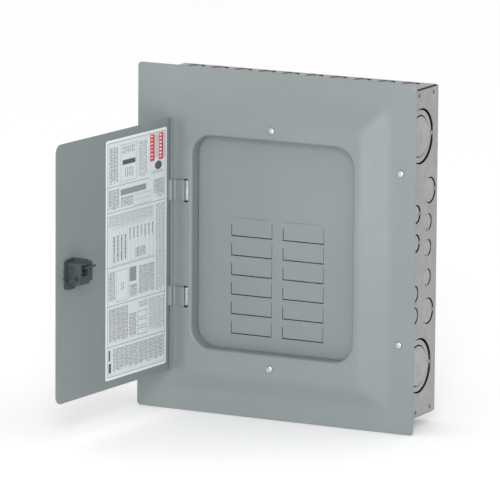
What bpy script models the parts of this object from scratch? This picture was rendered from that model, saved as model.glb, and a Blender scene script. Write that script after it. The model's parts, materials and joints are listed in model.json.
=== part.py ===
"""Residential load center: flush trim with an open door, sheet-steel box, bus and neutral interior.

Frame: metres, +Z up, origin at the centre of the box's outer back face. The wall is at +Y and the
door side faces -Y. Sizes below are in inches, because such equipment is made on a 1 inch breaker
pitch; every coordinate is turned into metres when a mesh is made.
"""
import math

import bmesh
import bpy
from mathutils import Matrix, Vector

INCH = 0.0254

# ---- driving dimensions (inches) ----
BOX_W = 14.3125            # outer width of the box
BOX_H = 16.65              # outer height of the box
DEPTH = 3.875              # box back to the trim flange's front
SHEET = 0.055              # box sheet
TRIM_T = 0.06              # trim sheet
TRIM_W = 15.56
TRIM_H = 17.65
TRIM_R = 0.20
FY = -DEPTH                # front plane of the trim flange
PROUD = 0.45               # plateau ahead of the flange
BEVEL_X, BEVEL_Z, BEVEL_R = 6.30, 7.65, 0.35
PLAT_CX, PLAT_CZ, PLAT_X, PLAT_Z, PLAT_R = 0.05, -0.20, 4.95, 6.50, 0.45
OPEN_CX, OPEN_CZ, OPEN_X, OPEN_Z, OPEN_R = 0.05, -0.01, 4.50, 5.44, 1.05
WALL_END = 0.30            # recess wall runs back to here, measured from FY
DEAD_Y0, DEAD_Y1 = 0.325, 0.375
PITCH = 1.0                # breaker pitch
ROWS = 6
ROW0 = -4.695              # bottom line of the lowest twistout
TWIST_IN, TWIST_OUT = 0.30, 2.60
SLOT = 0.045
HINGE_X, HINGE_D = -5.60, -0.545      # hinge axis; HINGE_D is measured from FY
CURL_R, CURL_T = 0.08, 0.042          # rolled knuckles: middle radius and sheet
PIN_R = 0.045
DOOR_RIGHT = 4.85
DOOR_Z0, DOOR_Z1 = -6.72, 6.20
DOOR_FACE = -0.60                     # closed door's inner face, from FY
DOOR_T = 0.05
DOOR_OPEN = 94.0                      # degrees open at rest
HINGES = ((2.00, 3.08), (-3.38, -2.38))
SIDE_SCREW_X, SIDE_SCREW_Z = 6.95, 4.31
TOP_SCREW_Z, BOTTOM_SCREW_Z = 5.95, -6.14
LATCH_Z = -0.25
SEG = 16

COLORS = {
    "enamel": ((0.285, 0.325, 0.322), 0.42, 0.0),
    "galvanised": ((0.42, 0.42, 0.40), 0.38, 0.85),
    "zinc": ((0.62, 0.63, 0.62), 0.28, 0.95),
    "aluminium": ((0.66, 0.67, 0.68), 0.34, 1.0),
    "black_plastic": ((0.02, 0.021, 0.022), 0.45, 0.0),
    "latch_plastic": ((0.062, 0.080, 0.083), 0.48, 0.0),
    "green_zinc": ((0.05, 0.26, 0.10), 0.35, 0.5),
    "label": ((0.60, 0.63, 0.63), 0.55, 0.0),
}

for old in list(bpy.data.objects):
    bpy.data.objects.remove(old, do_unlink=True)


# ---------------------------------------------------------------- helpers
def material(slot):
    mat = bpy.data.materials.get(slot)
    if mat is None:
        color, rough, metal = COLORS[slot]
        mat = bpy.data.materials.new(slot)
        mat.use_nodes = True
        bsdf = mat.node_tree.nodes["Principled BSDF"]
        bsdf.inputs["Base Color"].default_value = (*color, 1.0)
        bsdf.inputs["Roughness"].default_value = rough
        bsdf.inputs["Metallic"].default_value = metal
    return mat


def add(name, bm, slot, origin=(0, 0, 0), smooth=False):
    """Turn a bmesh given in inches into an object in metres with its origin at `origin`."""
    bmesh.ops.recalc_face_normals(bm, faces=bm.faces[:])
    place = Vector(origin) * INCH
    for v in bm.verts:
        v.co = v.co * INCH - place
    mesh = bpy.data.meshes.new(name)
    bm.to_mesh(mesh)
    bm.free()
    if smooth:
        mesh.shade_smooth()
        mesh.set_sharp_from_angle(angle=math.radians(35))
    if slot:
        mesh.materials.append(material(slot))
    obj = bpy.data.objects.new(name, mesh)
    obj.location = place
    bpy.context.scene.collection.objects.link(obj)
    return obj


def union_cells(boxes, cuts=()):
    """Exact union of axis-aligned boxes, less the cuts, as one welded skin."""
    every = list(boxes) + list(cuts)
    axes = [sorted({round(b[2 * a + s], 6) for b in every for s in (0, 1)}) for a in range(3)]

    def inside(group, p):
        return any(all(b[2 * a] < p[a] < b[2 * a + 1] for a in range(3)) for b in group)

    full = set()
    for i in range(len(axes[0]) - 1):
        for j in range(len(axes[1]) - 1):
            for k in range(len(axes[2]) - 1):
                mid = [(axes[a][n] + axes[a][n + 1]) / 2 for a, n in enumerate((i, j, k))]
                if inside(boxes, mid) and not inside(cuts, mid):
                    full.add((i, j, k))
    bm = bmesh.new()
    verts = {}

    def vert(i, j, k):
        if (i, j, k) not in verts:
            verts[i, j, k] = bm.verts.new((axes[0][i], axes[1][j], axes[2][k]))
        return verts[i, j, k]

    for cell in full:
        for a in range(3):
            for s in (0, 1):
                near = list(cell)
                near[a] += 1 if s else -1
                if tuple(near) in full:
                    continue
                u, v = [n for n in range(3) if n != a]
                ring = []
                for du, dv in ((0, 0), (1, 0), (1, 1), (0, 1)):
                    c = list(cell)
                    c[a] += s
                    c[u] += du
                    c[v] += dv
                    ring.append(vert(*c))
                bm.faces.new(ring)
    bmesh.ops.recalc_face_normals(bm, faces=bm.faces[:])
    bmesh.ops.dissolve_limit(bm, angle_limit=0.001, verts=bm.verts[:], edges=bm.edges[:])
    return bm


def blocks(name, slot, boxes, cuts=(), origin=(0, 0, 0)):
    return add(name, union_cells(boxes, cuts), slot, origin)


def prism(points, lo, hi, axis="Z"):
    """Extrude a closed outline; points are (x, y) for Z, (x, z) for Y."""
    bm = bmesh.new()

    def at(p, h):
        return (p[0], p[1], h) if axis == "Z" else (p[0], h, p[1])

    low = [bm.verts.new(at(p, lo)) for p in points]
    high = [bm.verts.new(at(p, hi)) for p in points]
    bm.faces.new(low)
    bm.faces.new(high)
    for n in range(len(points)):
        m = (n + 1) % len(points)
        bm.faces.new((low[n], low[m], high[m], high[n]))
    return bm


def ribbon(line, t):
    """Outline of a bent sheet of thickness t along a centre line, with mitred bends."""
    left, right = [], []
    for n, p in enumerate(line):
        p = Vector(p)
        before = (p - Vector(line[n - 1])).normalized() if n else None
        after = (Vector(line[n + 1]) - p).normalized() if n < len(line) - 1 else None
        before = before or after
        after = after or before
        na, nb = Vector((-before.y, before.x)), Vector((-after.y, after.x))
        mid = (na + nb).normalized()
        off = mid * (t / 2 / max(0.3, mid.dot(na)))
        left.append(tuple(p + off))
        right.append(tuple(p - off))
    return left + right[::-1]


def rounded(cx, cz, a, b, r, n=6):
    """Rounded rectangle as (x, z) points, n segments a corner."""
    out = []
    for sx, sz, start in ((1, 1, 0), (-1, 1, 90), (-1, -1, 180), (1, -1, 270)):
        for k in range(n + 1):
            t = math.radians(start + 90 * k / n)
            out.append((cx + sx * (a - r) + r * math.cos(t), cz + sz * (b - r) + r * math.sin(t)))
    return out


def ring_solid(loops):
    """Join closed loops of (x, y, z), the last one back to the first."""
    bm = bmesh.new()
    rings = [[bm.verts.new(p) for p in loop] for loop in loops]
    for a, ring in enumerate(rings):
        other = rings[(a + 1) % len(rings)]
        for n in range(len(ring)):
            m = (n + 1) % len(ring)
            bm.faces.new((ring[n], ring[m], other[m], other[n]))
    return bm


def turned(profile, x, z, seg=SEG):
    """Solid of revolution about a line along Y; profile is (radius, y), with 0 at both ends."""
    bm = bmesh.new()
    rings = []
    for r, y in profile:
        if r == 0:
            rings.append([bm.verts.new((x, y, z))])
            continue
        rings.append([bm.verts.new((x + r * math.cos(2 * math.pi * k / seg), y,
                                    z + r * math.sin(2 * math.pi * k / seg))) for k in range(seg)])
    for a, b in zip(rings, rings[1:]):
        for k in range(seg):
            m = (k + 1) % seg
            if len(a) == 1:
                bm.faces.new((a[0], b[k], b[m]))
            elif len(b) == 1:
                bm.faces.new((a[k], a[m], b[0]))
            else:
                bm.faces.new((a[k], a[m], b[m], b[k]))
    return bm


def rod(x, y, z, r, length, axis, seg=SEG):
    """Plain cylinder centred at (x, y, z)."""
    bm = bmesh.new()
    bmesh.ops.create_cone(bm, cap_ends=True, segments=seg, radius1=r, radius2=r, depth=length)
    turn = {"Z": Matrix(), "Y": Matrix.Rotation(math.radians(90), 4, "X"),
            "X": Matrix.Rotation(math.radians(90), 4, "Y")}[axis]
    bm.transform(Matrix.Translation((x, y, z)) @ turn)
    return bm


def join(parts):
    whole = bmesh.new()
    for bm in parts:
        mesh = bpy.data.meshes.new("join_tmp")
        bm.to_mesh(mesh)
        bm.free()
        whole.from_mesh(mesh)
        bpy.data.meshes.remove(mesh)
    return whole


def cut(obj, parts, operation="DIFFERENCE"):
    """Boolean the target with the given bmeshes; the cutter is a hidden guide."""
    tool = add(obj.name + "_cutter_" + str(len(obj.modifiers)), join(parts), None)
    tool.hide_render = True
    tool.display_type = "WIRE"
    mod = obj.modifiers.new("cut", "BOOLEAN")
    mod.operation = operation
    mod.object = tool
    return tool


# ---------------------------------------------------------------- box
hx, hz = BOX_W / 2, BOX_H / 2
front = FY + TRIM_T + 0.02
LIP = 0.60

box = blocks("box_back_and_sides", "galvanised", [
    (-hx, hx, -SHEET, 0, -hz, hz),
    (-hx, -hx + SHEET, front, 0, -hz, hz),
    (hx - SHEET, hx, front, 0, -hz, hz),
    (-hx, -hx + LIP, front, front + SHEET, -7.55, 7.55),
    (hx - LIP, hx, front, front + SHEET, -7.55, 7.55),
])
PAN_FOOT_X, PAN_SCREW_Z = 3.85, (6.05, -6.55)
box_holes = [rod(sx * SIDE_SCREW_X, front, sz * SIDE_SCREW_Z, 0.10, 0.4, "Y")
             for sx in (-1, 1) for sz in (-1, 1)]
box_holes += [rod(sx * PAN_FOOT_X, 0, z, 0.10, 0.4, "Y") for sx in (-1, 1) for z in PAN_SCREW_Z]
box_holes += [rod(sx * 5.2, 0, sz * 7.1, 0.14, 0.4, "Y") for sx in (-1, 1) for sz in (-1, 1)]
cut(box, box_holes)

for name, s in (("top_end_wall", 1), ("bottom_end_wall", -1)):
    ex = hx - SHEET - 0.016
    spans = [
        (-ex, ex, front, -SHEET - 0.02, hz - SHEET, hz),
        (-ex, -ex + SHEET, front + SHEET + 0.02, -SHEET - 0.02, 7.62, hz),
        (ex - SHEET, ex, front + SHEET + 0.02, -SHEET - 0.02, 7.62, hz),
        (-6.4, 6.4, front, front + SHEET, 7.62, hz),
        (-6.4, 6.4, -2 * SHEET - 0.02, -SHEET - 0.02, 7.62, hz),
    ]
    if s < 0:
        spans = [(a, b, c, d, -f, -e) for a, b, c, d, e, f in spans]
    blocks(name, "galvanised", spans)


# ---------------------------------------------------------------- trim
def loop(cx, cz, a, b, r, d):
    return [(x, FY + d, z) for x, z in rounded(cx, cz, a, b, r)]


bend = 0.14
slope = PROUD / (BEVEL_X - PLAT_X)
front_loops = [
    (0, 0, TRIM_W / 2, TRIM_H / 2, TRIM_R, 0),
    (0, 0, BEVEL_X + bend, BEVEL_Z + bend, BEVEL_R, 0),
    (0, 0, BEVEL_X, BEVEL_Z, BEVEL_R, -0.03),
    (0, 0, BEVEL_X - bend, BEVEL_Z - bend, BEVEL_R, -0.07),
    (PLAT_CX, PLAT_CZ, PLAT_X + bend, PLAT_Z + bend, PLAT_R, -PROUD + 0.05),
    (PLAT_CX, PLAT_CZ, PLAT_X, PLAT_Z, PLAT_R, -PROUD + 0.015),
    (PLAT_CX, PLAT_CZ, PLAT_X - bend, PLAT_Z - bend, PLAT_R, -PROUD),
    (OPEN_CX, OPEN_CZ, OPEN_X + 0.20, OPEN_Z + 0.20, OPEN_R + 0.20, -PROUD),
    (OPEN_CX, OPEN_CZ, OPEN_X + 0.10, OPEN_Z + 0.10, OPEN_R + 0.10, -PROUD + 0.027),
    (OPEN_CX, OPEN_CZ, OPEN_X + 0.027, OPEN_Z + 0.027, OPEN_R + 0.027, -PROUD + 0.10),
    (OPEN_CX, OPEN_CZ, OPEN_X, OPEN_Z, OPEN_R, -PROUD + 0.20),
    (OPEN_CX, OPEN_CZ, OPEN_X, OPEN_Z, OPEN_R, WALL_END),
]
shift = [(0, 1)] * 8 + [(0.5, 0.87), (0.87, 0.5), (1, 0), (1, 0)]
loops = [loop(*f) for f in front_loops]
for f, (ds, dd) in reversed(list(zip(front_loops, shift))):
    cx, cz, a, b, r, d = f
    grow = ds * TRIM_T
    loops.append(loop(cx, cz, a + grow, b + grow, r + grow, d + dd * TRIM_T))
trim = add("trim_cover", ring_solid(loops), "enamel", smooth=True)
SLOT_X0, SLOT_X1 = -4.92, -4.65
trim_cuts = [rod(sx * SIDE_SCREW_X, FY, sz * SIDE_SCREW_Z, 0.105, 0.5, "Y")
             for sx in (-1, 1) for sz in (-1, 1)]
trim_cuts += [rod(0, FY - PROUD, z, 0.105, 0.5, "Y") for z in (TOP_SCREW_Z, BOTTOM_SCREW_Z)]
trim_cuts += [union_cells([(SLOT_X0, SLOT_X1, FY - 0.7, FY, z0 - 0.06, z1 + 0.06)]) for z0, z1 in HINGES]
cut(trim, trim_cuts)


# ---------------------------------------------------------------- deadfront with twistouts
dead = add("deadfront", prism(rounded(0.05, -0.08, 4.85, 6.38, 0.5, 4), FY + DEAD_Y0, FY + DEAD_Y1, "Y"),
           "enamel")
dead_cuts = [rod(0, FY + DEAD_Y0, z, 0.105, 0.4, "Y") for z in (TOP_SCREW_Z, BOTTOM_SCREW_Z)]
for row in range(ROWS):
    zb = ROW0 + row * PITCH
    for side in (-1, 1):
        xa, xb = (TWIST_IN, TWIST_OUT) if side > 0 else (-TWIST_OUT, -TWIST_IN)
        outline = [(xa, zb), (xb, zb), (xb, zb + 0.55), (xb - SLOT, zb + 0.55), (xb - SLOT, zb + SLOT),
                   (xa + SLOT, zb + SLOT), (xa + SLOT, zb + 0.70), (xa, zb + 0.70)]
        dead_cuts.append(prism(outline, FY + DEAD_Y0 - 0.1, FY + DEAD_Y1 + 0.1, "Y"))
cut(dead, dead_cuts)


# ---------------------------------------------------------------- interior
def sheet_y(*points):
    return [tuple(p) for p in points]


pan_line = sheet_y((-4.15, -0.10), (-3.525, -0.10), (-3.525, -0.525), (3.525, -0.525), (3.525, -0.10),
                   (4.15, -0.10))
pan = add("interior_pan", prism(ribbon(pan_line, 0.05), -6.90, 6.40), "galvanised")
BOND_X, BOND_Z = 2.95, -4.80
pan_cuts = [rod(sx * PAN_FOOT_X, -0.10, z, 0.10, 0.3, "Y") for sx in (-1, 1) for z in PAN_SCREW_Z]
pan_cuts.append(rod(BOND_X, -0.525, BOND_Z, 0.085, 0.3, "Y"))
cut(pan, pan_cuts)

blocks("bus_insulator_base", "black_plastic", [
    (-1.55, 1.55, -0.85, -0.565, -5.00, 3.55),
    (-1.30, -0.45, -1.05, -0.565, -4.95, 3.50),
    (0.45, 1.30, -1.05, -0.565, -4.95, 3.50),
] + [(-0.35, 0.35, -1.05, -0.565, ROW0 + r + 0.25, ROW0 + r + 0.75) for r in range(ROWS)])

for name, s, odd in (("bus_bar_a", -1, 0), ("bus_bar_b", 1, 1)):
    spans = [(-1.15, -0.55, -1.18, -1.065, -4.85, 3.45)]
    for r in range(odd, ROWS, 2):
        zc = ROW0 + r + 0.5
        spans.append((-0.60, 0.28, -1.18, -1.065, zc - 0.20, zc + 0.20))
        spans.append((-0.28, 0.28, -1.75, -1.065, zc - 0.05, zc + 0.05))
    if s > 0:
        spans = [(-b, -a, c, d, e, f) for a, b, c, d, e, f in spans]
    blocks(name, "aluminium", spans)


def lug(name, x, z, y):
    body = blocks(name, "aluminium", [(x - 0.40, x + 0.40, y - 0.76, y, z - 0.50, z + 0.50)])
    cut(body, [rod(x, y - 0.36, z, 0.22, 1.4, "Z")])
    cut(body, [rod(x, y - 0.76, z, 0.18, 0.7, "Y")])
    screw = turned([(0, y - 0.90), (0.16, y - 0.90), (0.16, y - 0.60), (0, y - 0.60)], x, z, 12)
    add(name + "_screw", screw, "zinc", (x, y - 0.75, z), True)


LUG_Z = 2.85
lug("main_lug_a", -0.85, LUG_Z, -1.195)
lug("main_lug_b", 0.85, LUG_Z, -1.195)

for name, s in (("breaker_rail_left", -1), ("breaker_rail_right", 1)):
    spans = [(2.05, 2.50, -0.62, -0.565, -4.95, 1.55), (2.44, 2.50, -1.25, -0.565, -4.95, 1.55)]
    for r in range(ROWS):
        zc = ROW0 + r + 0.5
        spans.append((2.25, 2.50, -1.31, -1.25, zc - 0.22, zc + 0.22))
    if s < 0:
        spans = [(-b, -a, c, d, e, f) for a, b, c, d, e, f in spans]
    blocks(name, "galvanised", spans)

for side, s in (("left", -1), ("right", 1)):
    stand = [(2.78, 3.12, -1.135, -0.565, -5.05, 4.10), (2.68, 3.22, -0.68, -0.565, -5.05, 4.10)]
    bar = [(2.75, 3.15, -1.55, -1.15, -5.05, 4.10)]
    if s < 0:
        stand = [(-b, -a, c, d, e, f) for a, b, c, d, e, f in stand]
        bar = [(-b, -a, c, d, e, f) for a, b, c, d, e, f in bar]
    stand_obj = blocks("neutral_stand_" + side, "black_plastic", stand)
    bar_obj = blocks("neutral_bar_" + side, "aluminium", bar)
    if s > 0:
        cut(stand_obj, [rod(BOND_X, -0.85, BOND_Z, 0.085, 1.0, "Y")])
        cut(bar_obj, [rod(BOND_X, -1.35, BOND_Z, 0.085, 1.0, "Y")])
add("bonding_screw", turned([(0, -1.72), (0.15, -1.72), (0.17, -1.69), (0.17, -1.565), (0.07, -1.565),
                             (0.07, -0.35), (0, -0.35)], BOND_X, BOND_Z), "green_zinc",
    (BOND_X, -1.565, BOND_Z), True)

blocks("neutral_cross_strap", "aluminium", [
    (-3.15, 3.15, -1.70, -1.565, 3.72, 4.08), (-0.32, 0.32, -1.70, -1.565, 3.72, 5.25)])
lug("neutral_lug", 0.0, 4.68, -1.715)

GB_X, GB_Z0, GB_Z1 = 5.20, -6.30, -2.60
ground = blocks("ground_bar", "aluminium", [
    (GB_X - 0.20, GB_X + 0.20, -0.75, -0.35, GB_Z0, GB_Z1),
    (GB_X - 0.20, GB_X + 0.20, -0.75, -0.07, GB_Z0, GB_Z0 + 0.40),
    (GB_X - 0.20, GB_X + 0.20, -0.75, -0.07, GB_Z1 - 0.40, GB_Z1)])
ends = (("upper", GB_Z1 - 0.20), ("lower", GB_Z0 + 0.20))
cut(ground, [rod(GB_X, -0.41, z, 0.10, 1.0, "Y") for _, z in ends])
cut(box, [rod(GB_X, -0.03, z, 0.10, 0.3, "Y") for _, z in ends])
for tag, z in ends:
    add("ground_bar_screw_" + tag, turned([(0, -0.87), (0.13, -0.87), (0.15, -0.84), (0.15, -0.765),
                                           (0.085, -0.765), (0.085, -0.01), (0, -0.01)], GB_X, z),
        "zinc", (GB_X, -0.765, z), True)

for z, tag in ((PAN_SCREW_Z[0], "upper"), (PAN_SCREW_Z[1], "lower")):
    for s, side in ((-1, "left"), (1, "right")):
        x = s * PAN_FOOT_X
        add("interior_screw_%s_%s" % (tag, side),
            turned([(0, -0.25), (0.13, -0.25), (0.16, -0.22), (0.16, -0.14), (0.085, -0.14),
                    (0.085, -0.01), (0, -0.01)], x, z), "zinc", (x, -0.14, z), True)

for tag, z in (("top", TOP_SCREW_Z), ("bottom", BOTTOM_SCREW_Z)):
    hexagon = [(0.20 * math.cos(math.radians(60 * k)), z + 0.20 * math.sin(math.radians(60 * k)))
               for k in range(6)]
    post = add("deadfront_post_" + tag, prism(hexagon, FY + DEAD_Y1 + 0.02, -0.565, "Y"), "zinc")
    cut(post, [rod(0, FY + 0.75, z, 0.10, 1.4, "Y")])


# ---------------------------------------------------------------- cover screws
def cover_screw(name, x, z, seat, tip):
    """Washer-faced screw whose head seats just clear of the sheet at y = seat."""
    y = seat - 0.013
    profile = [(0, y - 0.085), (0.055, y - 0.085), (0.12, y - 0.075), (0.155, y - 0.045), (0.165, y - 0.015),
               (0.165, y), (0.085, y), (0.085, tip), (0, tip)]
    add(name, turned(profile, x, z), "zinc", (x, y, z), True)


for sz, tag in ((1, "upper"), (-1, "lower")):
    for sx, side in ((-1, "left"), (1, "right")):
        cover_screw("cover_screw_%s_%s" % (side, tag), sx * SIDE_SCREW_X, sz * SIDE_SCREW_Z, FY, FY + 0.55)
cover_screw("cover_screw_top", 0, TOP_SCREW_Z, FY - PROUD, FY + 1.25)
cover_screw("cover_screw_bottom", 0, BOTTOM_SCREW_Z, FY - PROUD, FY + 1.25)

# ---------------------------------------------------------------- fixed side of the hinge
HY = FY + HINGE_D
for (z0, z1), tag in zip(HINGES, ("upper", "lower")):
    line = [(-4.56, FY - 0.225), (-4.88, FY - 0.225), (-4.88, FY - 0.495), (-4.94, FY - 0.488),
            (-5.43, FY - 0.331), (HINGE_X + CURL_R, FY - 0.37)]
    for k in range(13):
        t = math.radians(-20 * k)
        line.append((HINGE_X + CURL_R * math.cos(t), HY + CURL_R * math.sin(t)))
    add("hinge_strap_" + tag, prism(ribbon(line, CURL_T), z0 + 0.02, z1 - 0.02), "enamel",
        (HINGE_X, HY, (z0 + z1) / 2))
    blocks("hinge_clip_" + tag, "zinc", [(-4.838, -4.67, FY - 0.438, FY - 0.275, z0 + 0.02, z1 - 0.02)])
    add("hinge_pin_" + tag, rod(HINGE_X, HY, (z0 + z1) / 2, PIN_R, z1 - z0 + 0.8, "Z", 12), "zinc",
        (HINGE_X, HY, (z0 + z1) / 2), True)

# ---------------------------------------------------------------- door, modelled closed, then swung open
axis = bpy.data.objects.new("door_axis", None)
axis.location = Vector((HINGE_X, HY, 0)) * INCH
bpy.context.scene.collection.objects.link(axis)


def on_door(obj):
    """Hang a piece, modelled in the closed pose, on the empty that sits on the hinge axis."""
    obj.parent = axis
    obj.matrix_parent_inverse = Matrix.Translation(-axis.location)
    return obj


sheet_d = FY + DOOR_FACE - DOOR_T / 2
door_line = [(DOOR_RIGHT, sheet_d), (HINGE_X, HY - CURL_R)]
for k in range(1, 13):
    t = math.radians(-90 - 19 * k)
    door_line.append((HINGE_X + CURL_R * math.cos(t), HY + CURL_R * math.sin(t)))
door = on_door(add("door_panel", prism(ribbon(door_line, CURL_T), DOOR_Z0, DOOR_Z1), "enamel",
                   (HINGE_X, HY, 0)))
door_cuts = [union_cells([(-5.80, -5.36, FY - 0.7, FY - 0.2, z0 - 0.02, z1 + 0.02)]) for z0, z1 in HINGES]
LX0, LX1, LZ0, LZ1 = 3.05, 3.95, LATCH_Z - 0.60, LATCH_Z + 0.60
door_cuts.append(union_cells([(LX0, LX1, FY - 0.7, FY - 0.3, LZ0, LZ1)]))
CORNER = 0.45
for z, s in ((DOOR_Z0, -1), (DOOR_Z1, 1)):
    corner = [(DOOR_RIGHT + 0.2, z - s * CORNER)]
    for k in range(9):
        t = math.radians(90 * k / 8)
        corner.append((DOOR_RIGHT - CORNER + CORNER * math.cos(t), z - s * CORNER + s * CORNER * math.sin(t)))
    corner += [(DOOR_RIGHT - CORNER, z + s * 0.2), (DOOR_RIGHT + 0.2, z + s * 0.2)]
    door_cuts.append(prism(corner, FY - 0.8, FY - 0.2, "Y"))
on_door(cut(door, door_cuts))

on_door(blocks("door_label", "label", [
    (-5.25, 0.40, FY + DOOR_FACE + 0.013, FY + DOOR_FACE + 0.024, DOOR_Z0 + 0.42, DOOR_Z1 - 0.40)]))

# latch: housing clipped through the door, with a sprung slide inside it
A, B = FY + DOOR_FACE - 0.10, FY + DOOR_FACE + 0.80
plate = (FY + DOOR_FACE + 0.013, FY + DOOR_FACE + 0.075)
on_door(blocks("latch_housing", "latch_plastic", [
    (LX0 + 0.02, LX1 - 0.02, A, B, LZ0 + 0.02, LZ1 - 0.02),
    (LX0 - 0.08, LX1 + 0.08, A, FY + DOOR_FACE - DOOR_T - 0.013, LZ0 - 0.08, LZ1 + 0.08),
    (2.92, 4.22, *plate, LATCH_Z - 0.68, LATCH_Z + 0.60),
    (3.20, 4.05, *plate, LATCH_Z - 0.86, LATCH_Z + 0.72),
    (2.60, LX0 + 0.02, FY + DOOR_FACE + 0.013, FY + DOOR_FACE + 0.76, LATCH_Z - 0.46, LATCH_Z + 0.52),
], [
    (LX0 + 0.10, LX1 - 0.10, A - 0.1, B - 0.08, LZ0 + 0.10, LZ1 - 0.10),
    (LX1 - 0.15, LX1 + 0.05, B - 0.30, B - 0.16, LATCH_Z - 0.42, LATCH_Z - 0.08),
    (3.22, 3.70, B - 0.10, B + 0.10, LATCH_Z - 0.05, LATCH_Z + 0.42),
]))
# thumb grip, tongue towards the free edge, and a finger that hooks over the housing
on_door(blocks("latch_slide", "latch_plastic", [
    (3.49, 3.825, A + 0.12, B - 0.11, LZ0 + 0.14, LZ1 - 0.14),
    (3.51, 3.65, A + 0.02, B - 0.11, LATCH_Z - 0.30, LATCH_Z + 0.30),
    (3.60, 4.42, B - 0.27, B - 0.19, LATCH_Z - 0.39, LATCH_Z - 0.11),
    (3.50, 3.62, B - 0.12, B + 0.09, LATCH_Z + 0.12, LATCH_Z + 0.30),
    (2.80, 3.62, B + 0.03, B + 0.09, LATCH_Z + 0.12, LATCH_Z + 0.30),
]))
axis.rotation_euler = (0, 0, math.radians(-DOOR_OPEN))
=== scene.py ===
"""Looks for the residential load center: fine meshes, materials, light and camera around the CAD frame.

Lengths are in inches until a mesh is made. World: +Z up, wall at +Y, origin at the box's back face.
"""
import json
import math
import random

import bmesh
import bpy
from mathutils import Matrix, Vector


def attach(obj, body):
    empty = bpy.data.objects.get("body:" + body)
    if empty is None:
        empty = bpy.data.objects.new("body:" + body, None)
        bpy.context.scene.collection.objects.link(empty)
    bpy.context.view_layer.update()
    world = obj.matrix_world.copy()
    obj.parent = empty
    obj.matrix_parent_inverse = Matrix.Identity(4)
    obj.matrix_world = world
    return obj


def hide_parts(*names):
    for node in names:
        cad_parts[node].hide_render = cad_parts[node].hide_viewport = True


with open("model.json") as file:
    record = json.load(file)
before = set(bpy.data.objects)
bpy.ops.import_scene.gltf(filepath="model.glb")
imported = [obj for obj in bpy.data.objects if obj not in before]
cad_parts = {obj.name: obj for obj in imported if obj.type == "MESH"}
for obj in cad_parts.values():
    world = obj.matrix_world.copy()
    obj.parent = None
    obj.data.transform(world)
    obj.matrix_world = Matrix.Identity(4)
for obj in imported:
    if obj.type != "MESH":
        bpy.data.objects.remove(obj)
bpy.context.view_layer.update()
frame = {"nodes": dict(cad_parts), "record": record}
INCH = 0.0254
rng = random.Random(7)

# ---- the CAD's own dimensions, in inches ----
HX, HZ = 14.3125 / 2, 16.65 / 2             # half the box's width and height
SHEET, TRIM_T = 0.055, 0.06                 # box sheet and trim sheet thickness
FY = -3.875                                 # front face of the trim's flange
TW, TH, TR = 15.56 / 2, 17.65 / 2, 0.20     # half the trim's width and height, and its corner radius
PROUD = 0.45                                # how far the trim's plateau stands in front of its flange
OPEN = (0.05, -0.01, 4.50, 5.44, 1.05)      # recess: centre x and z, half width and height, corner radius
WALL_END, DEAD0, DEAD1 = 0.30, 0.325, 0.375  # behind FY: recess wall's end, deadfront's front and rear
HINGE = (-5.60, FY - 0.545)                 # hinge axis, x and y
CURL_R, CURL_T = 0.08, 0.042                # rolled edge: middle radius and sheet thickness
HINGES = ((2.00, 3.08), (-3.38, -2.38))     # lowest and highest z of the two hinges
DOOR_RIGHT, DOOR_Z0, DOOR_Z1 = 4.85, -6.72, 6.20
FACE = FY - 0.60                            # close to the closed door's inner face
OPEN_ANGLE = 94.0                           # degrees from closed to the rest pose
SCREW_X, SCREW_Z = 6.95, 4.31               # flange screws
TOP_SCREW_Z, BOTTOM_SCREW_Z = 5.95, -6.14   # screws above and below the recess
ROW0, ROWS = -4.695, 6                      # lower edge of the lowest twistouts, one inch apart
LATCH_Z = -0.25
SWING = (Matrix.Translation((*HINGE, 0)) @ Matrix.Rotation(math.radians(-OPEN_ANGLE), 4, "Z")
         @ Matrix.Translation((-HINGE[0], -HINGE[1], 0)))
# a turned solid is made along Z and then laid along the axis it is asked for
AXIS_TURN = {"Z": Matrix(), "Y": Matrix.Rotation(math.radians(-90), 4, "X"),
             "X": Matrix.Rotation(math.radians(90), 4, "Y")}
SIDES = (-1, 1)
CORNERS = tuple((sx, sz) for sx in SIDES for sz in SIDES)


# ================================================================ mesh helpers
def to_mesh(name, bm, swing=False, sharp=32):
    bmesh.ops.recalc_face_normals(bm, faces=bm.faces[:])
    if swing:
        bm.transform(SWING)
    bmesh.ops.scale(bm, vec=(INCH,) * 3, verts=bm.verts[:])
    mesh = bpy.data.meshes.new(name)
    bm.to_mesh(mesh)
    bm.free()
    if sharp:
        mesh.shade_smooth()
        mesh.set_sharp_from_angle(angle=math.radians(sharp))
    obj = bpy.data.objects.new(name, mesh)
    bpy.context.scene.collection.objects.link(obj)
    return obj


def carve(obj, cutters, swing=False, sharp=32, op="DIFFERENCE"):
    """Apply a Boolean with the given bmeshes, and leave no modifier or cutter behind."""
    tool = to_mesh(obj.name + "_tool", join(cutters), swing, 0)
    mod = obj.modifiers.new("cut", "BOOLEAN")
    mod.operation, mod.object = op, tool
    bake(obj, sharp)
    bpy.data.objects.remove(tool, do_unlink=True)
    return obj


def bake(obj, sharp=32):
    dg = bpy.context.evaluated_depsgraph_get()
    mesh = bpy.data.meshes.new_from_object(obj.evaluated_get(dg))
    obj.modifiers.clear()
    obj.data = mesh
    if sharp:
        mesh.shade_smooth()
        mesh.set_sharp_from_angle(angle=math.radians(sharp))


def soften(obj, width, segments=2, angle=40):
    """Round the edges of a finished piece and keep its flats flat."""
    obj.data.shade_smooth()
    mod = obj.modifiers.new("edge", "BEVEL")
    mod.width, mod.segments = width * INCH, segments
    mod.limit_method, mod.angle_limit = "ANGLE", math.radians(angle)
    mod.use_clamp_overlap = True
    flat = obj.modifiers.new("flat", "WEIGHTED_NORMAL")
    flat.weight, flat.keep_sharp = 80, False
    bake(obj, 0)
    return obj


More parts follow.
